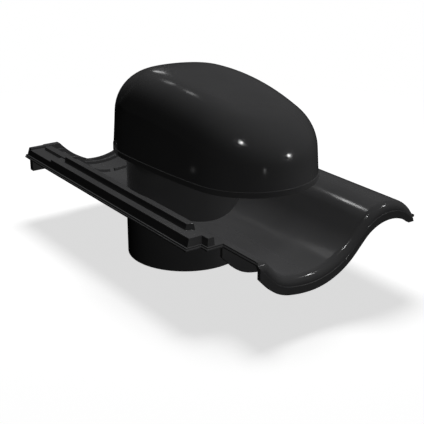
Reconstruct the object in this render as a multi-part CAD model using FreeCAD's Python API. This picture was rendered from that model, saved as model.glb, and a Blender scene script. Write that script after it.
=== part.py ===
import FreeCAD
import Part
import math
import os

# Roof tile vent, in millimetres: an S-profile roof tile moulded in one piece with an upright
# round tube, and a hood. The tube's lower end is the duct spigot, and its upper end is the neck.
# The hood is a second moulding, which sits on the neck's rim on four inner webs.
# Frame: the tube's axis at x = y = 0, z = 0 at the spigot's end, +Z up, the ridge of the roof
# towards +Y, the eaves towards -Y, the side lap at -X and the roll at +X.

# Tube
SPIGOT_OUTSIDE = 125.0      # outside diameter, for a push-on duct
TUBE_BORE = 118.6
NECK_OUTSIDE = 123.0
SPIGOT_LENGTH = 76.5        # spigot's end to the flange plane of the tile
DUCT_OVERLAP = 45.0         # straight end that the duct pushes over
SPIGOT_ROOT = 126.2         # outside diameter at the flange plane, which stops the duct
NECK_HEIGHT = 64.0          # flange plane to the neck's rim

# Tile, length
HEAD_Y = 180.0              # tube axis to the head edge
EAVES_Y = 215.0             # tube axis to the eaves face
TILE_WALL = 3.2

# Tile, section across the roof, from the flat side lap to the edge of the roll
PAN_OFFSET = 10.0           # tube axis to the pan's lowest line, towards the lap
PAN_DEPTH = 23.5            # flange plane down to the pan
ROLL_HEIGHT = 23.5          # flange plane up to the roll's crest
SHOULDER_R = 9.0
PAN_SIDE_SLOPE = 47.0       # degrees
PAN_CORNER_R = 30.0
PAN_FLOOR_R = 100.0
PAN_FLOOR_TURN = 12.0       # degrees
PAN_RISE_R = 75.0
ROLL_SIDE_SLOPE = 46.0      # degrees
ROLL_R = 42.0
ROLL_EDGE_R = 40.0
ROLL_EDGE_TURN = 66.0       # degrees past the crest
LIP_REACH = 4.5             # lip along the roll's edge
LIP_THICKNESS = 2.2

# Tile, eaves nose and the stiffening rib behind it
NOSE_R = 8.0
SKIRT_DROP = 16.8           # upper surface to the skirt's lower edge
NOSE_LINE = 9.2             # upper surface to where the skirt steps out under the nose
NOSE_STEP = 0.7
RIB_Y = 160.0               # tube axis to the rib's eaves face
RIB_DROP = 15.7
RIB_THICKNESS = 3.0

# Side lap: a flange with a stepped rim, a hollow ledge on it, and a weather bar on the ledge
FLANGE_X = 100.0            # tube axis to the flange's outer edge
STEP_X = (84.0, 67.0)       # flange edge after its first and second step in
STEP_Y = (151.0, 160.5)     # where it steps in
RIM_STEP = 1.0              # rebate round the flange's edge
RIM_DROP = 1.6
LEDGE_HEIGHT = 8.0
LEDGE_MARGIN = 1.0          # flange edge to the ledge's foot
LEDGE_LEAN = 3.0            # lean of the ledge's outer wall
LEDGE_DRAFT = 0.7
LEDGE_INNER_X = 74.0
HEAD_FLOOR_HEIGHT = 5.8     # lowered stretch of the ledge by the head
HEAD_FLOOR_Y = 123.0
HEAD_RIM_Y = 173.0
HEAD_RIM_X = 59.0
BAR_X = 83.0                # centre line of the weather bar
BAR_TOP = 5.4
BAR_FOOT = 8.8
BAR_HEIGHT = 6.0
BAR_EAVES_Y = 132.5
BAR_HEAD_Y = 106.0
BAR_MITRE = 30.0            # degrees
BLOCK_X = (82.0, 74.0)      # low block on from the bar, towards the head
BLOCK_HEAD_Y = 165.0
BLOCK_HEIGHT = 9.5          # above the flange plane

# Weather ribs across the pan by the head, and what hangs under the head
PAN_RIB_Y = (132.0, 167.0)
PAN_RIB_HEIGHT = 3.4
PAN_RIB_THICKNESS = 3.0
PAN_RIB_REACH = 48.0        # tube axis to the rib's roll end
DRAIN_GAP = 6.0
DRAIN_OFFSET = 4.5          # pan's lowest line to the gap, towards the lap
HEAD_BAR_SAG = 4.0          # of the head bar's top, where it sweeps down into the pan
LUG_DROP = 18.8             # lug under the lap's head corner
LUG_WIDTH = 33.0
LUG_THICKNESS = 7.0
NIB_WIDTH = 60.0            # batten nib under the pan
NIB_DROP = 14.0
NIB_THICKNESS = 6.0
NIB_Y = 150.0

# Hood
HOOD_GAP = 13.0             # neck's outside to the hood's rim, at the sides and the back
HOOD_REACH = 176.0          # tube axis to the hood's nose
HOOD_NOSE_R = 66.5
HOOD_RIM_HEIGHT = 38.1      # flange plane to the rim's lower edge
HOOD_TOP_HEIGHT = 121.4
HOOD_BOW_R = 440.0          # the crown is bowed from back to nose, and level across
HOOD_BOW_Y = 20.0           # tube axis to the bow's highest line, towards the eaves
HOOD_EDGE_R = 43.5
HOOD_DRAFT = 4.0            # degrees
HOOD_WALL = 2.5
RIM_BAND = 5.4
RIM_PROUD = 0.5
WEB_THICKNESS = 2.5
WEB_GRIP = 12.0             # depth that the webs straddle the neck's rim
WEB_TONGUE = 14.0           # reach of a web inside the tube
WEB_CLEARANCE = 0.3
WEB_ANGLES = (45.0, 135.0, 225.0, 315.0)

# Worked out from the sizes above
FLANGE_Z = SPIGOT_LENGTH
NECK_Z = FLANGE_Z + NECK_HEIGHT
BORE_R = TUBE_BORE / 2
NECK_R = NECK_OUTSIDE / 2
SPIGOT_R = SPIGOT_OUTSIDE / 2
RUN_OUT = 10.0              # how far cutting solids run past what they cut
BELOW = -60.0               # floor of the cutting solids, under everything


def box(x_span, y_span, z_span):
    """Box from three (low, high) spans."""
    low = FreeCAD.Vector(x_span[0], y_span[0], z_span[0])
    return Part.makeBox(x_span[1] - x_span[0], y_span[1] - y_span[0], z_span[1] - z_span[0], low)


def polygon(points):
    """Closed wire through points."""
    return Part.makePolygon(list(points) + [points[0]])


def rise(radius, slope):
    """Height gained on an arc that turns between level and the slope, in degrees."""
    return radius * (1 - math.cos(math.radians(slope)))


def run(radius, slope):
    """Distance gained on an arc that turns between level and the slope, in degrees."""
    return radius * math.sin(math.radians(slope))


def section_moves():
    """The tile's section as (radius, turn) arcs and (length, 0) lines, from lap to roll edge."""
    corner_turn = PAN_SIDE_SLOPE - PAN_FLOOR_TURN
    corner_rise = rise(PAN_CORNER_R, PAN_SIDE_SLOPE) - rise(PAN_CORNER_R, PAN_FLOOR_TURN)
    corner_run = run(PAN_CORNER_R, PAN_SIDE_SLOPE) - run(PAN_CORNER_R, PAN_FLOOR_TURN)
    curved_drop = rise(SHOULDER_R, PAN_SIDE_SLOPE) + corner_rise + rise(PAN_FLOOR_R, PAN_FLOOR_TURN)
    side_slope = math.radians(PAN_SIDE_SLOPE)
    side_length = (PAN_DEPTH - curved_drop) / math.sin(side_slope)
    side_run = run(SHOULDER_R, PAN_SIDE_SLOPE) + side_length * math.cos(side_slope)
    flat = FLANGE_X - PAN_OFFSET - side_run - corner_run - run(PAN_FLOOR_R, PAN_FLOOR_TURN)
    curved_rise = rise(PAN_RISE_R, ROLL_SIDE_SLOPE) + rise(ROLL_R, ROLL_SIDE_SLOPE)
    roll_side = (PAN_DEPTH + ROLL_HEIGHT - curved_rise) / math.sin(math.radians(ROLL_SIDE_SLOPE))
    return [
        (flat, 0),
        (SHOULDER_R, -PAN_SIDE_SLOPE),
        (side_length, 0),
        (PAN_CORNER_R, corner_turn),
        (PAN_FLOOR_R, PAN_FLOOR_TURN),
        (PAN_RISE_R, ROLL_SIDE_SLOPE),
        (roll_side, 0),
        (ROLL_R, -ROLL_SIDE_SLOPE),
        (ROLL_EDGE_R, -ROLL_EDGE_TURN),
    ]


def section(inset=0.0, run_out=0.0):
    """Edges of the tile's upper surface in the XZ plane, sunk into the wall by inset."""
    moves = section_moves()
    if run_out:
        moves[0] = (moves[0][0] + run_out, 0)
        moves.append((run_out, 0))
    edges = []
    heading = 0.0
    point = FreeCAD.Vector(-FLANGE_X - run_out, 0, FLANGE_Z - inset)
    for size, turn in moves:
        if turn == 0:
            step = FreeCAD.Vector(math.cos(heading), 0, math.sin(heading)) * size
            end = point + step
            edges.append(Part.makeLine(point, end))
        else:
            side = math.copysign(1, turn)
            radius = size + side * inset
            centre = point + FreeCAD.Vector(-math.sin(heading), 0, math.cos(heading)) * side * radius
            middle, end = [
                centre + FreeCAD.Vector(math.sin(angle), 0, -math.cos(angle)) * side * radius
                for angle in (heading + math.radians(turn) / 2, heading + math.radians(turn))
            ]
            edges.append(Part.Arc(point, middle, end).toShape())
            heading += math.radians(turn)
        point = end
    return edges


def end_points(edges):
    """First and last point of a run of edges."""
    return edges[0].firstVertex().Point, edges[-1].lastVertex().Point


def filled(upper, lower, y_span):
    """Solid between two runs of edges in the XZ plane, over a span of y."""
    upper_start, upper_end = end_points(upper)
    lower_start, lower_end = end_points(lower)
    sides = [Part.makeLine(upper_start, lower_start), Part.makeLine(upper_end, lower_end)]
    wire = Part.Wire(Part.__sortEdges__(upper + lower + sides))
    face = Part.Face(wire)
    face.translate(FreeCAD.Vector(0, y_span[0], 0))
    return face.extrude(FreeCAD.Vector(0, y_span[1] - y_span[0], 0))


def under(edges, y_span):
    """Solid from a run of edges down to the floor of the cutting solids."""
    start, end = end_points(edges)
    floor = Part.makeLine(FreeCAD.Vector(start.x, 0, BELOW), FreeCAD.Vector(end.x, 0, BELOW))
    return filled(edges, [floor], y_span)


def lowered(edges, drop):
    """Copies of edges, moved straight down."""
    copies = [edge.copy() for edge in edges]
    for copy in copies:
        copy.translate(FreeCAD.Vector(0, 0, -drop))
    return copies


def lower_edge(drop):
    """Lower edge of what hangs under the sheet: square to the pan's side, then straight down."""
    side = section(drop)[2:5]
    start, end = end_points(side[:1])
    lead_in = Part.makeLine(start + (start - end).normalize() * FLANGE_X, start)
    return [lead_in] + side + lowered(section(0, RUN_OUT)[5:], drop)


def round_nose(solid, edges, y, radius):
    """Solid with its upper edge at the eaves face rounded."""
    marks = [edge.CenterOfMass + FreeCAD.Vector(0, y, 0) for edge in edges]
    tolerance = 0.001
    nose = [
        edge for edge in solid.Edges
        if any(edge.CenterOfMass.distanceToPoint(mark) < tolerance for mark in marks)
    ]
    return solid.makeFillet(radius, nose)


def outside_lap(rebate):
    """Boxes outside the lap's stepped edge, drawn in by rebate."""
    z_span = (FLANGE_Z - RIM_DROP if rebate else BELOW, FLANGE_Z + RUN_OUT)
    edges = [(FLANGE_X, -HEAD_Y)]
    edges += list(zip(STEP_X, STEP_Y))
    boxes = []
    for x, y in edges:
        x_span = (-FLANGE_X - RUN_OUT, -x + rebate)
        boxes.append(box(x_span, (-EAVES_Y - RUN_OUT, -y + rebate), z_span))
    return boxes


def lip_and_trim():
    """The lip along the roll's edge, and the space under it that the skirt stays out of."""
    edge_point = end_points(section())[1]
    lip_z = (edge_point.z - LIP_THICKNESS, edge_point.z)
    lip_x = (edge_point.x - TILE_WALL, edge_point.x + LIP_REACH)
    lip = box(lip_x, (-EAVES_Y + NOSE_R, HEAD_Y), lip_z)
    crest_x = edge_point.x - run(ROLL_EDGE_R, ROLL_EDGE_TURN)
    trim = box((crest_x, edge_point.x + RUN_OUT), (-EAVES_Y - RUN_OUT, HEAD_Y + RUN_OUT), (BELOW, lip_z[0]))
    return lip, trim


def tile_sheet():
    """The S-profile sheet with its rounded eaves nose and skirt, and the lap's flat flange."""
    top = section()
    nose_y = -EAVES_Y + NOSE_STEP
    outer = round_nose(under(top, (nose_y, HEAD_Y)), top, nose_y, NOSE_R)
    lining = section(TILE_WALL, RUN_OUT)
    lining_y = nose_y + TILE_WALL
    inner = under(lining, (lining_y, HEAD_Y + RUN_OUT))
    inner = round_nose(inner, lining, lining_y, NOSE_R - TILE_WALL)
    skirt_y = (-EAVES_Y, lining_y)
    skirt = under(lower_edge(NOSE_LINE), skirt_y).common(under(top, skirt_y))
    trim = under(lower_edge(SKIRT_DROP), (-EAVES_Y - RUN_OUT, lining_y + RUN_OUT))
    lip, lip_trim = lip_and_trim()
    sheet = outer.fuse(skirt).cut([inner, trim, lip_trim])
    sheet = sheet.fuse(lip)
    return sheet.cut(outside_lap(0) + outside_lap(RIM_STEP))


def under_rib():
    """Stiffening rib across the underside, behind the eaves skirt."""
    rib_y = (-RIB_Y, -RIB_Y + RIB_THICKNESS)
    rib = under(section(TILE_WALL / 2), rib_y)
    trims = [under(lower_edge(RIB_DROP), rib_y), lip_and_trim()[1]]
    trims.append(box((-FLANGE_X - RUN_OUT, -STEP_X[1]), rib_y, (BELOW, FLANGE_Z)))
    return rib.cut(trims)


def ledge_outline(inset, lean):
    """Plan of the ledge: stepped at its eaves end, its outer wall leaning in by lean."""
    margin = RIM_STEP + LEDGE_MARGIN + inset
    outer_x = -FLANGE_X + margin + lean
    step_x = -STEP_X[0] + margin
    inner_x = -LEDGE_INNER_X - inset
    head_y = HEAD_Y - LEDGE_MARGIN - inset
    return [
        (outer_x, -STEP_Y[0] + margin),
        (step_x, -STEP_Y[0] + margin),
        (step_x, -STEP_Y[1] + margin),
        (inner_x, -STEP_Y[1] + margin),
        (inner_x, head_y),
        (outer_x, head_y),
    ]


def ledge_solid(inset, foot_z, top_z):
    """Ledge with leaning walls, drawn in by inset all round."""
    wires = []
    for z, draft, lean in ((foot_z, 0.0, 0.0), (top_z, LEDGE_DRAFT, LEDGE_LEAN - LEDGE_DRAFT)):
        outline = ledge_outline(inset + draft, lean)
        wires.append(polygon([FreeCAD.Vector(x, y, z) for x, y in outline]))
    return Part.makeLoft(wires, True, True)


def head_floor(inset):
    """Space above the lowered stretch of the ledge, grown by inset."""
    z_span = (FLANGE_Z + HEAD_FLOOR_HEIGHT - inset, FLANGE_Z + LEDGE_HEIGHT + RUN_OUT)
    return box((-FLANGE_X, -LEDGE_INNER_X + RUN_OUT), (HEAD_FLOOR_Y - inset, HEAD_RIM_Y + inset), z_span)


def lap_ledge():
    """The hollow ledge's outside and its hollow, which opens underneath."""
    outside = ledge_solid(0.0, FLANGE_Z - TILE_WALL / 2, FLANGE_Z + LEDGE_HEIGHT).cut(head_floor(0.0))
    hollow = ledge_solid(TILE_WALL, FLANGE_Z - 2 * TILE_WALL, FLANGE_Z + LEDGE_HEIGHT - TILE_WALL)
    return outside, hollow.cut(head_floor(TILE_WALL))


def weather_bar():
    """The bar along the ledge, mitred at its eaves end, and the low block in line with it."""
    foot_z = FLANGE_Z + LEDGE_HEIGHT - TILE_WALL / 2
    top_z = FLANGE_Z + LEDGE_HEIGHT + BAR_HEIGHT
    profile = [
        FreeCAD.Vector(-BAR_X - BAR_FOOT / 2, -BAR_EAVES_Y - BAR_FOOT, foot_z),
        FreeCAD.Vector(-BAR_X + BAR_FOOT / 2, -BAR_EAVES_Y - BAR_FOOT, foot_z),
        FreeCAD.Vector(-BAR_X + BAR_TOP / 2, -BAR_EAVES_Y - BAR_FOOT, top_z),
        FreeCAD.Vector(-BAR_X - BAR_TOP / 2, -BAR_EAVES_Y - BAR_FOOT, top_z),
    ]
    length = BAR_HEAD_Y + BAR_EAVES_Y + BAR_FOOT
    bar = Part.Face(polygon(profile)).extrude(FreeCAD.Vector(0, length, 0))
    mitre = box((-FLANGE_X, FLANGE_X), (-FLANGE_X, 0), (foot_z - RUN_OUT, top_z + RUN_OUT))
    mitre.rotate(FreeCAD.Vector(), FreeCAD.Vector(0, 0, 1), -BAR_MITRE)
    mitre.translate(FreeCAD.Vector(-BAR_X, -BAR_EAVES_Y, 0))
    block_z = (FLANGE_Z + HEAD_FLOOR_HEIGHT - TILE_WALL / 2, FLANGE_Z + BLOCK_HEIGHT)
    block = box((-BLOCK_X[0], -BLOCK_X[1]), (BAR_HEAD_Y - TILE_WALL, BLOCK_HEAD_Y), block_z)
    return [bar.cut(mitre), block]


def pan_ribs():
    """Weather ribs across the pan and along its head; the lowest has a drain gap low in the pan."""
    lap_end = -LEDGE_INNER_X
    ribs = []
    for y in PAN_RIB_Y + (HEAD_Y - PAN_RIB_THICKNESS / 2,):
        y_span = (y - PAN_RIB_THICKNESS / 2, y + PAN_RIB_THICKNESS / 2)
        rib = filled(section(-PAN_RIB_HEIGHT), section(TILE_WALL / 2), y_span)
        ribs.append(rib.common(box((lap_end, PAN_RIB_REACH), y_span, (BELOW, NECK_Z))))
    drain_x = -PAN_OFFSET - DRAIN_OFFSET
    gap_x = (drain_x - DRAIN_GAP / 2, drain_x + DRAIN_GAP / 2)
    gap_y = (PAN_RIB_Y[0] - PAN_RIB_THICKNESS, PAN_RIB_Y[0] + PAN_RIB_THICKNESS)
    gap_z = (FLANGE_Z - PAN_DEPTH, FLANGE_Z)
    ribs[0] = ribs[0].cut(box(gap_x, gap_y, gap_z))
    return ribs


def head_bar():
    """Bar along the head edge: level over the lap, then sweeping down into the pan."""
    y_span = (HEAD_RIM_Y, HEAD_Y)
    top_z = FLANGE_Z + LEDGE_HEIGHT
    over_lap = box((-LEDGE_INNER_X - TILE_WALL, -HEAD_RIM_X), y_span, (FLANGE_Z - TILE_WALL / 2, top_z))
    start = FreeCAD.Vector(-HEAD_RIM_X, 0, top_z)
    end = FreeCAD.Vector(-PAN_OFFSET, 0, FLANGE_Z - PAN_DEPTH)
    chord = end - start
    sag = FreeCAD.Vector(chord.z, 0, -chord.x).normalize() * HEAD_BAR_SAG
    sweep = Part.Arc(start, start + chord / 2 + sag, end).toShape()
    over_pan = filled(section(-LEDGE_HEIGHT - RUN_OUT), section(TILE_WALL / 2), y_span)
    in_pan = under([sweep], y_span).common(over_pan)
    return [over_lap, in_pan]


def underside_hooks():
    """Lug under the lap's head corner, and the batten nib under the pan."""
    lug_x = -FLANGE_X + RIM_STEP + LEDGE_MARGIN + LEDGE_LEAN
    lug_y = HEAD_Y - LEDGE_MARGIN
    lug = box((lug_x, lug_x + LUG_WIDTH), (lug_y - LUG_THICKNESS, lug_y), (FLANGE_Z - LUG_DROP, FLANGE_Z))
    nib_y = (NIB_Y, NIB_Y + NIB_THICKNESS)
    nib = filled(section(TILE_WALL / 2), lowered(section(TILE_WALL / 2), PAN_DEPTH + ROLL_HEIGHT), nib_y)
    nib_x = (-PAN_OFFSET - NIB_WIDTH / 2, -PAN_OFFSET + NIB_WIDTH / 2)
    nib_low = FLANGE_Z - PAN_DEPTH - TILE_WALL - NIB_DROP
    return [lug, nib.common(box(nib_x, nib_y, (nib_low, NECK_Z)))]


def vent_tile():
    """The tile, its neck and its spigot, as one moulding."""
    ledge, ledge_hollow = lap_ledge()
    root_z = FreeCAD.Vector(0, 0, DUCT_OVERLAP)
    root_r = SPIGOT_ROOT / 2
    spigot = [
        Part.makeCylinder(SPIGOT_R, DUCT_OVERLAP),
        Part.makeCone(SPIGOT_R, root_r, FLANGE_Z - DUCT_OVERLAP, root_z),
        Part.makeCylinder(root_r, ROLL_HEIGHT, FreeCAD.Vector(0, 0, FLANGE_Z)),
    ]
    neck = Part.makeCylinder(NECK_R, NECK_Z)
    roof_side = under(section(TILE_WALL / 2, RUN_OUT), (-EAVES_Y, HEAD_Y))
    added = [ledge, neck, under_rib()]
    added += [length.common(roof_side) for length in spigot]
    added += pan_ribs() + head_bar()
    tile = tile_sheet().fuse(added).cut(ledge_hollow)
    tile = tile.fuse(weather_bar() + underside_hooks())
    bore = Part.makeCylinder(BORE_R, NECK_Z + RUN_OUT, FreeCAD.Vector(0, 0, -RUN_OUT / 2))
    return tile.cut(bore).removeSplitter()


def egg_outline(inset, z):
    """Plan of the hood: an arc round the tube, a nose arc at the eaves end, and bowed sides."""
    back_r = NECK_R + HOOD_GAP
    nose_y = HOOD_NOSE_R - HOOD_REACH
    difference = back_r - HOOD_NOSE_R
    side_x = (nose_y ** 2 - difference ** 2) / (2 * difference)
    side_r = side_x + back_r - inset
    back = back_r - inset
    nose = HOOD_NOSE_R - inset
    meet = math.atan2(-nose_y, side_x)

    def on_side(angle, hand):
        return FreeCAD.Vector(hand * (side_r * math.cos(angle) - side_x), -side_r * math.sin(angle), z)

    right, left = [[on_side(angle, hand) for angle in (0, meet / 2, meet)] for hand in (1, -1)]
    edges = [
        Part.Arc(right[0], FreeCAD.Vector(0, back, z), left[0]),
        Part.Arc(left[0], left[1], left[2]),
        Part.Arc(left[2], FreeCAD.Vector(0, nose_y - nose, z), right[2]),
        Part.Arc(right[2], right[1], right[0]),
    ]
    return Part.Wire([edge.toShape() for edge in edges])


def hood_form(inset, foot_z):
    """Solid hood form drawn in by inset: drafted walls under a bowed crown, with a rounded edge."""
    band_z = FLANGE_Z + HOOD_RIM_HEIGHT + RIM_BAND
    top_z = FLANGE_Z + HOOD_TOP_HEIGHT
    taper = math.tan(math.radians(HOOD_DRAFT))
    wires = [
        egg_outline(inset + RIM_PROUD + (z - band_z) * taper, z) for z in (foot_z, top_z + RUN_OUT)
    ]
    bow_start = FreeCAD.Vector(-HOOD_REACH, -HOOD_BOW_Y, top_z - HOOD_BOW_R)
    bow = Part.makeCylinder(HOOD_BOW_R - inset, 2 * HOOD_REACH, bow_start, FreeCAD.Vector(1, 0, 0))
    form = Part.makeLoft(wires, True, True).common(bow)
    top_edges = [edge for edge in form.Edges if edge.BoundBox.ZMin > band_z]
    return form.makeFillet(HOOD_EDGE_R - inset, top_edges)


def hood_webs(hollow):
    """Radial webs that stand on the neck's rim and straddle its wall."""
    slot_low = NECK_Z - 2 * WEB_GRIP
    slot = Part.makeCylinder(NECK_R + WEB_CLEARANCE, NECK_Z - slot_low, FreeCAD.Vector(0, 0, slot_low))
    core = Part.makeCylinder(BORE_R - WEB_CLEARANCE, NECK_Z - slot_low, FreeCAD.Vector(0, 0, slot_low))
    slot = slot.cut(core)
    webs = []
    for angle in WEB_ANGLES:
        x_span = (BORE_R - WEB_TONGUE, NECK_R + HOOD_GAP)
        z_span = (NECK_Z - WEB_GRIP, FLANGE_Z + HOOD_TOP_HEIGHT)
        web = box(x_span, (-WEB_THICKNESS / 2, WEB_THICKNESS / 2), z_span)
        web.rotate(FreeCAD.Vector(), FreeCAD.Vector(0, 0, 1), angle)
        webs.append(web.common(hollow).cut(slot))
    return webs


def hood():
    """The hood's shell, its rim band and its inner webs, as one moulding."""
    rim_z = FLANGE_Z + HOOD_RIM_HEIGHT
    outer = hood_form(0.0, rim_z)
    band = Part.Face(egg_outline(0.0, rim_z)).extrude(FreeCAD.Vector(0, 0, RIM_BAND))
    hollow = hood_form(HOOD_WALL, rim_z - RUN_OUT)
    bedded = hood_form(HOOD_WALL / 2, rim_z)
    shell = outer.fuse(band).cut(hollow)
    return shell.fuse(hood_webs(bedded)).removeSplitter()


os.makedirs("parts", exist_ok=True)
for name, make in (("vent_tile", vent_tile), ("hood", hood)):
    shape = make()
    shape.exportStep("parts/" + name + ".step")
    print(name, "solids", len(shape.Solids), "valid", shape.isValid(), "volume", round(shape.Volume))
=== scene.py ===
# %% [markdown]
# # Roof tile vent
# A roof tile vent replaces one tile of a roof and lets a duct breathe through it. The tile and its
# tube are one black plastic moulding, and the domed hood that keeps the rain out is a second one.
# This lesson dresses the CAD model of that part: first the shapes, then the plastic, then the studio.

import bpy
import math
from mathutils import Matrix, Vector


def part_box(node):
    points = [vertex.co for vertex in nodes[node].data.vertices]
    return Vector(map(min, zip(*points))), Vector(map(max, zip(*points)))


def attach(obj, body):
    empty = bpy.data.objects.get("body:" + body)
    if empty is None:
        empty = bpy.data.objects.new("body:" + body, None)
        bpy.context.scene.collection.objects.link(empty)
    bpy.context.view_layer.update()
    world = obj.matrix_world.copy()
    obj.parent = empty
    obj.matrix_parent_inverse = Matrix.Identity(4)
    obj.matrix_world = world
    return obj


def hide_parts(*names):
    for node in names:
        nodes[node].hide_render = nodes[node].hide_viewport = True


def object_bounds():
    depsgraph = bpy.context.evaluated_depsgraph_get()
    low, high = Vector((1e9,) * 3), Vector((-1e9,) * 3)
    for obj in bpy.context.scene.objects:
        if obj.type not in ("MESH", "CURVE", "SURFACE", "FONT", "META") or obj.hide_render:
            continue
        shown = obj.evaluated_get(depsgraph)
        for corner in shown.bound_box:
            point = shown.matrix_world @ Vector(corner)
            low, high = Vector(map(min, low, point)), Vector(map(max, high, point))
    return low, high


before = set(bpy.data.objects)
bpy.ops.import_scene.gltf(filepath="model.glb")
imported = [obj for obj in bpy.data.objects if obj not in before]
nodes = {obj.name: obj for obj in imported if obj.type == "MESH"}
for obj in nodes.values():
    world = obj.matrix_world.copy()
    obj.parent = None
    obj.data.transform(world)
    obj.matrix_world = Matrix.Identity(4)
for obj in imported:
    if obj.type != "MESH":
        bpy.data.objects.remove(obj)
cad_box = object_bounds()
print("nodes", sorted(nodes), "box", [tuple(round(v, 4) for v in corner) for corner in cad_box])


# %% [markdown]
# ## Smooth surfaces
# The real mouldings have curved faces that meet at crisp corners. The CAD nodes come as loose
# triangles, and smoothing every edge would smear those corners. So a copy of each node is merged into
# one skin, smooth on its curves and sharp at its corners. The copy then stands for the node.

# %% Merge and smooth a copy of each node
CORNER = math.radians(28)
WELD = 0.00001


def make_active(piece):
    """Selects one piece alone, for the operators that follow."""
    bpy.ops.object.select_all(action="DESELECT")
    piece.select_set(True)
    bpy.context.view_layer.objects.active = piece


def smooth_copy(name):
    """A welded copy of a CAD node, smooth on its curves and sharp at its corners."""
    piece = bpy.data.objects.new(name + "_moulding", nodes[name].data.copy())
    bpy.context.scene.collection.objects.link(piece)
    make_active(piece)
    bpy.ops.object.mode_set(mode="EDIT")
    bpy.ops.mesh.select_all(action="SELECT")
    bpy.ops.mesh.remove_doubles(threshold=WELD)
    bpy.ops.mesh.customdata_custom_splitnormals_clear()
    bpy.ops.object.mode_set(mode="OBJECT")
    bpy.ops.object.shade_smooth_by_angle(angle=CORNER)
    weighting = piece.modifiers.new("broad faces lead", "WEIGHTED_NORMAL")
    weighting.keep_sharp = True
    bpy.ops.object.modifier_apply(modifier=weighting.name)
    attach(piece, "root")
    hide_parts(name)
    print(piece.name, "vertices", len(piece.data.vertices), "faces", len(piece.data.polygons))
    return piece


mouldings = {name: smooth_copy(name) for name in ("vent_tile", "hood")}


# %% [markdown]
# ## An even crown
# The real hood is one smooth dome above its rim. Its CAD mesh has a few long flat strips on the crown
# and bands of narrow triangles round its edge, and a highlight would break up where they meet. A finer
# mesh would be heavy, so half a ball is drawn down onto the hood like a film, and evened out. The hood
# keeps its own shape, and takes only its shading from the film.

# %% Draw a film over the hood
RIM_BAND = 0.0054
BALL_ROOM = 0.019
FILM_SEGMENTS = 144
FILM_RINGS = 96
STRETCH_STEPS = 10

hood_low, hood_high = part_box("hood")
hood_middle = (hood_low.y + hood_high.y) / 2
rim_top = hood_low.z + RIM_BAND
ball_reach = (
    hood_high.x + BALL_ROOM,
    (hood_high.y - hood_low.y) / 2 + BALL_ROOM,
    hood_high.z - rim_top + BALL_ROOM,
)


def film_over(hood):
    """Half a ball around the hood above its rim, drawn onto it along its own normals."""
    bpy.ops.object.select_all(action="DESELECT")
    bpy.ops.mesh.primitive_uv_sphere_add(segments=FILM_SEGMENTS, ring_count=FILM_RINGS, radius=1)
    film = bpy.context.object
    bpy.ops.object.mode_set(mode="EDIT")
    bpy.ops.mesh.select_all(action="SELECT")
    bpy.ops.mesh.bisect(plane_co=(0, 0, 0), plane_no=(0, 0, 1), clear_inner=True)
    bpy.ops.mesh.select_all(action="SELECT")
    bpy.ops.transform.resize(value=ball_reach, center_override=(0, 0, 0))
    bpy.ops.transform.translate(value=(0, hood_middle, rim_top))
    bpy.ops.object.mode_set(mode="OBJECT")
    drawn = film.modifiers.new("drawn on", "SHRINKWRAP")
    drawn.wrap_method = "PROJECT"
    drawn.use_negative_direction = True
    drawn.use_positive_direction = False
    drawn.target = hood
    bpy.ops.object.modifier_apply(modifier=drawn.name)
    stretched = film.modifiers.new("stretched even", "SMOOTH")
    stretched.iterations = STRETCH_STEPS
    bpy.ops.object.modifier_apply(modifier=stretched.name)
    bpy.ops.object.shade_smooth()
    return film


film = film_over(mouldings["hood"])
print("film", [round(v, 4) for v in film.dimensions], "faces", len(film.data.polygons))

# %% Take the film's shading
FILM_GAP = 0.001
RIM_MARGIN = 0.004
SAME_WAY = 0.9


def shade_by_film(hood, film):
    """Gives the hood's outside above the rim the film's normals, and throws the film away."""
    outside = hood.vertex_groups.new(name="outside")
    for vertex in hood.data.vertices:
        _, place, normal, _ = film.closest_point_on_mesh(vertex.co)
        near = (place - vertex.co).length < FILM_GAP and vertex.co.z > rim_top + RIM_MARGIN
        if near and vertex.normal.dot(normal) > SAME_WAY:
            outside.add([vertex.index], 1.0, "REPLACE")
    make_active(hood)
    shading = hood.modifiers.new("film's shading", "DATA_TRANSFER")
    shading.object = film
    shading.use_loop_data = True
    shading.data_types_loops = {"CUSTOM_NORMAL"}
    shading.loop_mapping = "POLYINTERP_NEAREST"
    shading.vertex_group = outside.name
    bpy.ops.object.modifier_apply(modifier=shading.name)
    bpy.data.objects.remove(film)
    shaded = sum(len(vertex.groups) for vertex in hood.data.vertices)
    hood.vertex_groups.clear()
    return shaded


print("vertices shaded by the film", shade_by_film(mouldings["hood"], film))


# %% [markdown]
# ## Black moulded plastic
# The real part is black plastic from a finely etched mould. It is nearly black all over, its gloss
# changes a little from place to place where the melt flowed, and a fine grain softens highlights.
# Images would need unwrapping, so three noises on Object coordinates give colour, gloss and grain.
# No moulded edge is quite sharp. Cutting real bevels into the merged triangles would tear the narrow
# ones, so the shader rounds the edges' normals, by half a millimetre on the tile and less on the hood.

# %% Noises for the plastic
NOISE_LOW = 0.3
NOISE_HIGH = 0.7
FADE_START = 0.35
FADE_END = 0.75


def noise(tree, coords, scale, detail):
    """A noise texture on the piece's own coordinates."""
    texture = tree.nodes.new("ShaderNodeTexNoise")
    texture.inputs["Scale"].default_value = scale
    texture.inputs["Detail"].default_value = detail
    tree.links.new(coords.outputs["Object"], texture.inputs["Vector"])
    return texture


def ramp(tree, source, low, high):
    """A colour that follows a noise between two colours."""
    colours = tree.nodes.new("ShaderNodeValToRGB")
    colours.color_ramp.elements[0].position = FADE_START
    colours.color_ramp.elements[0].color = low
    colours.color_ramp.elements[1].position = FADE_END
    colours.color_ramp.elements[1].color = high
    tree.links.new(source.outputs["Fac"], colours.inputs["Fac"])
    return colours


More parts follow.
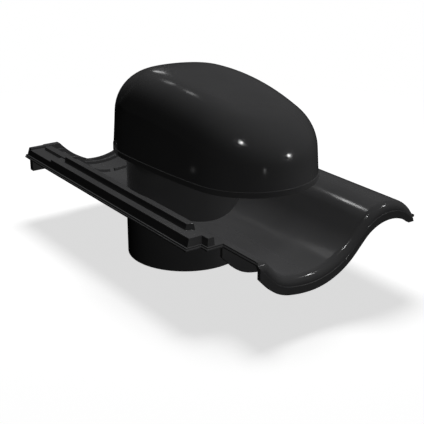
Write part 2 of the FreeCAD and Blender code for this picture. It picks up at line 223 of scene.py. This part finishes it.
def spread(tree, source, low, high):
    """A number that follows a noise between two values."""
    number = tree.nodes.new("ShaderNodeMapRange")
    number.inputs["From Min"].default_value = NOISE_LOW
    number.inputs["From Max"].default_value = NOISE_HIGH
    number.inputs["To Min"].default_value = low
    number.inputs["To Max"].default_value = high
    tree.links.new(source.outputs["Fac"], number.inputs["Value"])
    return number


print("noise used from", NOISE_LOW, "to", NOISE_HIGH)

# %% The plastic's nodes
BLACK = (0.043, 0.043, 0.044, 1.0)
FADED = (0.051, 0.051, 0.052, 1.0)
PLASTIC_IOR = 1.5
COLOUR_SCALE = 14.0
COLOUR_DETAIL = 4.0
GLOSS_SCALE = 70.0
GLOSS_DETAIL = 6.0
GRAIN_SCALE = 2600.0
GRAIN_DETAIL = 2.0
EDGE_SAMPLES = 8


def moulded_plastic(name, gloss, grain_depth, edge_radius):
    """Black plastic: a roughness range for its gloss, and its grain's depth and edges' radius in metres."""
    material = bpy.data.materials.new(name)
    material.use_nodes = True
    tree = material.node_tree
    shader = tree.nodes["Principled BSDF"]
    shader.inputs["IOR"].default_value = PLASTIC_IOR
    coords = tree.nodes.new("ShaderNodeTexCoord")
    colour = ramp(tree, noise(tree, coords, COLOUR_SCALE, COLOUR_DETAIL), BLACK, FADED)
    tree.links.new(colour.outputs["Color"], shader.inputs["Base Color"])
    roughness = spread(tree, noise(tree, coords, GLOSS_SCALE, GLOSS_DETAIL), *gloss)
    tree.links.new(roughness.outputs["Result"], shader.inputs["Roughness"])
    rounding = tree.nodes.new("ShaderNodeBevel")
    rounding.samples = EDGE_SAMPLES
    rounding.inputs["Radius"].default_value = edge_radius
    grain = tree.nodes.new("ShaderNodeBump")
    grain.inputs["Strength"].default_value = 1.0
    grain.inputs["Distance"].default_value = grain_depth
    etching = noise(tree, coords, GRAIN_SCALE, GRAIN_DETAIL)
    tree.links.new(etching.outputs["Fac"], grain.inputs["Height"])
    tree.links.new(rounding.outputs["Normal"], grain.inputs["Normal"])
    tree.links.new(grain.outputs["Normal"], shader.inputs["Normal"])
    return material


tile_plastic = moulded_plastic("tile plastic", gloss=(0.13, 0.17), grain_depth=2.0e-6, edge_radius=0.0005)
hood_plastic = moulded_plastic("hood plastic", gloss=(0.13, 0.16), grain_depth=1.5e-6, edge_radius=0.0002)
finishes = {"vent_tile": tile_plastic, "hood": hood_plastic}
for name, piece in mouldings.items():
    piece.data.materials.clear()
    piece.data.materials.append(finishes[name])
    nodes[name].data.materials.clear()
    nodes[name].data.materials.append(finishes[name])
print("finishes", [material.name for material in finishes.values()])


# %% [markdown]
# ## Studio floor
# The part stands on its spigot on a pale floor that runs off to white, like paper in a studio. Paper
# bent up behind the part would show from other sides, so the floor is one flat plane that fades to
# white, and its own shader keeps the soft shadow. A camera ray sees it white; the part sees a duller
# floor, so that the dark walls of the plastic stay dark.

# %% The floor's shader
PAPER = (0.8, 0.8, 0.8, 1)
PAPER_LIFT = 0.70
DULL_PAPER = (0.01, 0.01, 0.01, 1)
FADE_RADIUS = 0.75
FADE_WIDTH = 0.6


def mixed(tree, amount, first, second):
    """A blend of two shaders: the first where the amount is 0, the second where it is 1."""
    blend = tree.nodes.new("ShaderNodeMixShader")
    tree.links.new(amount, blend.inputs["Fac"])
    tree.links.new(first, blend.inputs[1])
    tree.links.new(second, blend.inputs[2])
    return blend.outputs["Shader"]


def camera_ray(tree):
    """An amount that is 1 for what the camera sees, and 0 for what the part sees."""
    return tree.nodes.new("ShaderNodeLightPath").outputs["Is Camera Ray"]


def lit_paper(tree):
    """Matt paper, lifted so far that only a shadow takes it below white."""
    matt = tree.nodes.new("ShaderNodeBsdfDiffuse")
    matt.inputs["Color"].default_value = PAPER
    lift = tree.nodes.new("ShaderNodeEmission")
    lift.inputs["Strength"].default_value = PAPER_LIFT
    paper = tree.nodes.new("ShaderNodeAddShader")
    tree.links.new(matt.outputs["BSDF"], paper.inputs[0])
    tree.links.new(lift.outputs["Emission"], paper.inputs[1])
    return paper.outputs["Shader"]


def nearness(tree):
    """An amount that is 1 around the part, and fades to 0 further out."""
    coords = tree.nodes.new("ShaderNodeTexCoord")
    reach = tree.nodes.new("ShaderNodeMapping")
    reach.inputs["Scale"].default_value = (1 / FADE_RADIUS, 1 / FADE_RADIUS, 1)
    tree.links.new(coords.outputs["Object"], reach.inputs["Vector"])
    round_part = tree.nodes.new("ShaderNodeTexGradient")
    round_part.gradient_type = "SPHERICAL"
    tree.links.new(reach.outputs["Vector"], round_part.inputs["Vector"])
    fade = tree.nodes.new("ShaderNodeMapRange")
    fade.inputs["From Max"].default_value = FADE_WIDTH
    tree.links.new(round_part.outputs["Fac"], fade.inputs["Value"])
    return fade.outputs["Result"]


def floor_material():
    """White far out, lit paper round the part, and dull paper for what the part sees."""
    material = bpy.data.materials.new("studio floor")
    material.use_nodes = True
    tree = material.node_tree
    tree.nodes.clear()
    white = tree.nodes.new("ShaderNodeEmission")
    seen = mixed(tree, nearness(tree), white.outputs["Emission"], lit_paper(tree))
    dull = tree.nodes.new("ShaderNodeBsdfDiffuse")
    dull.inputs["Color"].default_value = DULL_PAPER
    output = tree.nodes.new("ShaderNodeOutputMaterial")
    surface = mixed(tree, camera_ray(tree), dull.outputs["BSDF"], seen)
    tree.links.new(surface, output.inputs["Surface"])
    return material


paper_floor = floor_material()
print("floor shader nodes", len(paper_floor.node_tree.nodes))

# %% Floor
FLOOR_SIZE = 12.0


def pale_floor():
    """A large flat floor under the part."""
    bpy.ops.object.select_all(action="DESELECT")
    bpy.ops.mesh.primitive_plane_add(size=FLOOR_SIZE, location=(0, 0, cad_box[0][2]))
    plane = bpy.context.object
    plane.name = "studio floor"
    plane.data.materials.append(paper_floor)
    return plane


floor = pale_floor()
print("floor at", round(floor.location.z, 4))


# %% [markdown]
# ## Surroundings
# The studio round the part is nearly dark, and white only where the camera looks past the floor. A
# white room would light the part from all sides and grey its walls.

# %% World
WHITE = (1, 1, 1, 1)
ROOM_LIGHT = 0.012


def studio_world():
    """Dim surroundings for the part, and white where the camera looks past the floor."""
    world = bpy.data.worlds.new("studio")
    world.use_nodes = True
    tree = world.node_tree
    tree.nodes.clear()
    room = tree.nodes.new("ShaderNodeBackground")
    room.inputs["Color"].default_value = WHITE
    room.inputs["Strength"].default_value = ROOM_LIGHT
    backdrop = tree.nodes.new("ShaderNodeBackground")
    backdrop.inputs["Color"].default_value = WHITE
    output = tree.nodes.new("ShaderNodeOutputWorld")
    surface = mixed(tree, camera_ray(tree), room.outputs["Background"], backdrop.outputs["Background"])
    tree.links.new(surface, output.inputs["Surface"])
    return world


bpy.context.scene.world = studio_world()
print("world", bpy.context.scene.world.name, "light", ROOM_LIGHT)


# %% [markdown]
# ## Soft light
# The photograph has broad soft light from behind and from the roll's side, and little from the front,
# so the walls that face the lens stay dark. Broad lamps would also show as white patches in the gloss,
# so the soft lamps shade the plastic and are hidden from its gloss. Most cast no shadow, because light
# that comes round from many sides fills the shadows in.

# %% Soft lamps
AIM = Vector((0.0, -0.02, 0.09))
SOFT_DISTANCE = 2.0
SOFT_SIZE = 0.9


def lamp(name, place, distance, azimuth, elevation, power, size):
    """A round lamp that looks at a place; azimuth is in degrees from the tile's head to its roll."""
    turn = math.radians(azimuth)
    height = math.radians(elevation)
    direction = Vector((
        math.sin(turn) * math.cos(height),
        math.cos(turn) * math.cos(height),
        math.sin(height),
    ))
    data = bpy.data.lights.new(name, "AREA")
    data.shape = "DISK"
    data.size = size
    data.energy = power
    light = bpy.data.objects.new(name, data)
    light.location = place + direction * distance
    light.rotation_euler = direction.to_track_quat("Z", "Y").to_euler()
    light.visible_camera = False
    bpy.context.scene.collection.objects.link(light)
    return light


def lights_only(light, objects):
    """Keeps a lamp's light to some objects."""
    receivers = bpy.data.collections.new(light.name)
    for receiver in objects:
        receivers.objects.link(receiver)
    light.light_linking.receiver_collection = receivers


def soft_lamp(name, azimuth, elevation, power, casts_shadow):
    """A broad lamp behind a diffuser, for the plastic alone."""
    light = lamp(name, AIM, SOFT_DISTANCE, azimuth, elevation, power, SOFT_SIZE)
    light.visible_glossy = False
    # Rays that leave the gloss can't see this lamp, so sampling it along them would leave specks.
    light.data.cycles.use_multiple_importance_sampling = False
    light.data.use_shadow = casts_shadow
    lights_only(light, mouldings.values())
    return light


softboxes = [
    soft_lamp("back softbox", azimuth=26, elevation=26, power=46.0, casts_shadow=False),
    soft_lamp("roll side softbox", azimuth=116, elevation=57, power=8.0, casts_shadow=True),
    soft_lamp("roll side fill", azimuth=116, elevation=57, power=27.0, casts_shadow=False),
    soft_lamp("front fill", azimuth=-158, elevation=2, power=6.5, casts_shadow=False),
]
overhead = lamp(
    "overhead lamp for the floor", AIM, SOFT_DISTANCE, azimuth=40, elevation=70, power=20.0, size=SOFT_SIZE
)
lights_only(overhead, [floor])
print("soft lamps", [light.name for light in softboxes])


# %% [markdown]
# ## Sparks
# In the photograph's gloss, small lamps show as streaks along the curves and as round glints on the
# hood. Each spark is one such lamp. It could light everything, but then each new glint would change
# the shading, so a spark shows only in the gloss of one piece. A far spark draws a streak, and a near
# one a small glint. The two brightest have a narrow cone, so that they don't flare on the hood's far
# edges. A narrow cone gathers the light, and needs less of it.

# %% Places for the sparks
hood_front = Vector((0.0, hood_low.y, hood_low.z))
CROWN = hood_front + Vector((-0.040, 0.136, 0.0804))
HOOD_SHOULDER = hood_front + Vector((-0.040, 0.025, 0.0494))
HOOD_NOSE = hood_front + Vector((-0.003, 0.004, 0.0364))
HOOD_LOW_FRONT = hood_front + Vector((-0.027, 0.008, 0.0264))
HOOD_LAP_WALL = hood_front + Vector((-0.065, 0.062, 0.0184))

tile_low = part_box("vent_tile")[0]
tile_front = Vector((0.0, tile_low.y, tile_low.z))
PAN = tile_front + Vector((0.012, 0.115, 0.053))
EAVES = tile_front + Vector((0.020, 0.020, 0.055))
NOSE_SLOPE = tile_front + Vector((0.043, 0.006, 0.077))
print("hood's front", [round(v, 4) for v in hood_front], "tile's front", [round(v, 4) for v in tile_front])

# %% Sparks
FAR = 0.6
NEAR = 0.2
CLOSE = 0.07
SPARK_SPREAD = 0.08
OPEN = 180
NARROW = 40


def spark(name, node, place, distance, azimuth, elevation, brightness, cone=OPEN):
    """A small lamp in the gloss of one piece, as bright and as wide from near as from far."""
    power = brightness * distance ** 2
    light = lamp(name, place, distance, azimuth, elevation, power, SPARK_SPREAD * distance)
    light.data.spread = math.radians(cone)
    light.visible_diffuse = False
    light.data.use_shadow = False
    # Only the first surface shows it: sparks seen in other reflections would be specks.
    light.data.cycles.max_bounces = 0
    lights_only(light, [mouldings[node]])
    return light


# Each line gives a spark's name, piece, place and distance, its azimuth and elevation, and its brightness.
sparks = [
    spark("low crown spark", "hood", CROWN, FAR, 28, 13, 0.028),
    spark("middle crown spark", "hood", CROWN, FAR, 16, 36, 0.028),
    spark("high crown spark", "hood", CROWN, FAR, 15, 49, 0.042),
    spark("hood shoulder spark", "hood", HOOD_SHOULDER, NEAR, -130, 46, 0.05, NARROW),
    spark("hood nose spark", "hood", HOOD_NOSE, NEAR, 148, 8, 0.05, NARROW),
    spark("low hood front spark", "hood", HOOD_LOW_FRONT, CLOSE, -168, -10, 0.05),
    spark("hood lap wall spark", "hood", HOOD_LAP_WALL, CLOSE, -51, -13, 0.006),
    spark("pan spark", "vent_tile", PAN, FAR, 19, 39, 0.10),
    spark("eaves spark", "vent_tile", EAVES, FAR, 9, 49, 0.15),
    spark("front nose spark", "vent_tile", EAVES, FAR, 129, 46, 0.8),
    spark("nose slope spark", "vent_tile", NOSE_SLOPE, FAR, -124, 67, 0.8),
]
print("sparks", len(sparks))


# %% [markdown]
# ## Camera
# The camera stands where the photograph was taken from: left of the eaves and a little above, with
# a long lens. It was found by fitting the tile's straight edges and the tube's ellipse, which is surer
# than setting it by eye.

# %% Camera
AZIMUTH = math.radians(-35.139)
ELEVATION = math.radians(21.347)
DISTANCE = 1.0101
SHIFT_RIGHT = 0.0280
SHIFT_UP = -0.0331
PIVOT = Vector((0.0, 0.0, 0.0765))
FOCAL_PIXELS = 957.974
FRAME_PIXELS = 424
SENSOR_WIDTH = 36.0

back = Vector((
    math.sin(AZIMUTH) * math.cos(ELEVATION),
    -math.cos(AZIMUTH) * math.cos(ELEVATION),
    math.sin(ELEVATION),
))
right = Vector((math.cos(AZIMUTH), math.sin(AZIMUTH), 0.0))
up = back.cross(right)
view = bpy.data.cameras.new("photograph's view")
view.sensor_width = SENSOR_WIDTH
view.lens = FOCAL_PIXELS / FRAME_PIXELS * SENSOR_WIDTH
view.dof.use_dof = False
camera = bpy.data.objects.new("photograph's view", view)
camera.location = PIVOT + back * DISTANCE + right * SHIFT_RIGHT + up * SHIFT_UP
camera.rotation_euler = back.to_track_quat("Z", "Y").to_euler()
bpy.context.scene.collection.objects.link(camera)
bpy.context.scene.camera = camera
print("camera", [round(v, 4) for v in camera.location], "lens", round(view.lens, 2))


# %% [markdown]
# ## Colour
# The Standard view shows colours as they are written.

# %% Finish
bpy.context.scene.view_settings.view_transform = "Standard"
